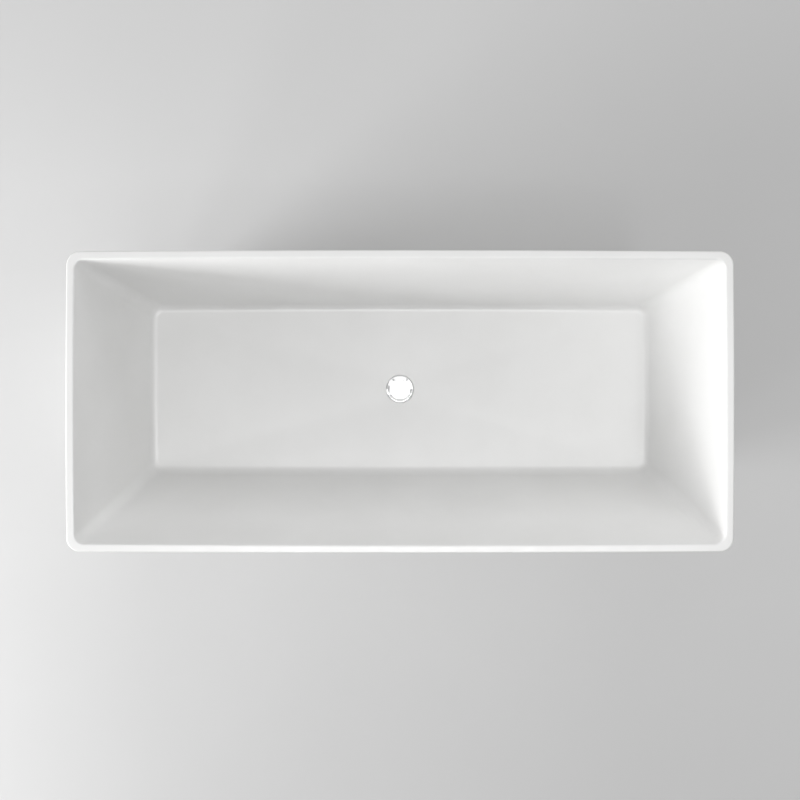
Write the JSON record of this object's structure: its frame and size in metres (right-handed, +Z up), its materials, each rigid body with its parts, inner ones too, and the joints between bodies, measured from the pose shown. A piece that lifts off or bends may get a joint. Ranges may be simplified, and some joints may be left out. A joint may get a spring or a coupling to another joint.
{
  "type": "freestanding bathtub",
  "caption": "Freestanding rectangular bathtub with thin rim and tapered sides: cast inner and outer skins on a steel frame with levelling feet, a push-to-open waste and a shallow trap.",
  "frame": {"origin": "on the room floor, straight below the middle of the drain and of the tub", "axes": "+X along the tub towards the trap's outlet, +Y across the tub towards the back, +Z up"},
  "size_m": [1.7, 0.77, 0.58],
  "materials": {
    "cast_basin": "satin",
    "cast_shell": "satin",
    "board": "matte",
    "timber": "matte",
    "frame_steel": "satin",
    "zinc_steel": "satin",
    "spring_steel": "satin",
    "black_plastic": "matte",
    "foot_rubber": "matte",
    "gasket_rubber": "matte",
    "chrome": "polished",
    "plain_brass": "satin",
    "white_plastic": "gloss",
    "trap_plastic": "satin",
    "pipe_plastic": "gloss"
  },
  "bodies": {
    "tub": {"inner_basin": "cast_basin", "outer_shell": "cast_shell", "support_board": "board", "front_rail": "frame_steel", "back_rail": "frame_steel", "left_end_rail": "frame_steel", "left_mid_rail": "frame_steel", "right_mid_rail": "frame_steel", "right_end_rail": "frame_steel", "rail_end_caps": "black_plastic", "frame_tabs": "frame_steel", "tab_screws": "zinc_steel", "skirt_blocks": "timber", "weld_nuts": "zinc_steel", "lock_nuts": "zinc_steel", "waste_body": "chrome", "upper_gasket": "gasket_rubber", "lower_gasket": "gasket_rubber", "back_nut": "plain_brass", "plug_cartridge": "white_plastic", "plug_spring": "spring_steel", "trap_inlet_nut": "trap_plastic", "trap_inlet_washer": "gasket_rubber", "trap_body": "trap_plastic", "trap_clean_cap": "trap_plastic", "clean_cap_seal": "gasket_rubber", "outlet_nut": "trap_plastic", "outlet_washer": "gasket_rubber", "outlet_pipe": "pipe_plastic"},
    "plug": {"plug_cap": "chrome", "plug_seal": "gasket_rubber", "plug_stem": "plain_brass"},
    "foot_front_left": {"stem_front_left": "zinc_steel", "pad_front_left": "foot_rubber"},
    "foot_front_mid": {"stem_front_mid": "zinc_steel", "pad_front_mid": "foot_rubber"},
    "foot_front_right": {"stem_front_right": "zinc_steel", "pad_front_right": "foot_rubber"},
    "foot_back_left": {"stem_back_left": "zinc_steel", "pad_back_left": "foot_rubber"},
    "foot_back_mid": {"stem_back_mid": "zinc_steel", "pad_back_mid": "foot_rubber"},
    "foot_back_right": {"stem_back_right": "zinc_steel", "pad_back_right": "foot_rubber"}
  },
  "joints": [
    {"name": "plug_slide", "type": "slide", "parent": "tub", "child": "plug", "axis": [0, 0, 1], "range_m": [0, 0.009], "deforming": ["plug_spring"]},
    {"name": "foot_front_left_height", "type": "slide", "parent": "tub", "child": "foot_front_left", "axis": [0, 0, -1], "range_m": [-0.008, 0.012]},
    {"name": "foot_front_mid_height", "type": "slide", "parent": "tub", "child": "foot_front_mid", "axis": [0, 0, -1], "range_m": [-0.008, 0.012]},
    {"name": "foot_front_right_height", "type": "slide", "parent": "tub", "child": "foot_front_right", "axis": [0, 0, -1], "range_m": [-0.008, 0.012]},
    {"name": "foot_back_left_height", "type": "slide", "parent": "tub", "child": "foot_back_left", "axis": [0, 0, -1], "range_m": [-0.008, 0.012]},
    {"name": "foot_back_mid_height", "type": "slide", "parent": "tub", "child": "foot_back_mid", "axis": [0, 0, -1], "range_m": [-0.008, 0.012]},
    {"name": "foot_back_right_height", "type": "slide", "parent": "tub", "child": "foot_back_right", "axis": [0, 0, -1], "range_m": [-0.008, 0.012]}
  ]
}
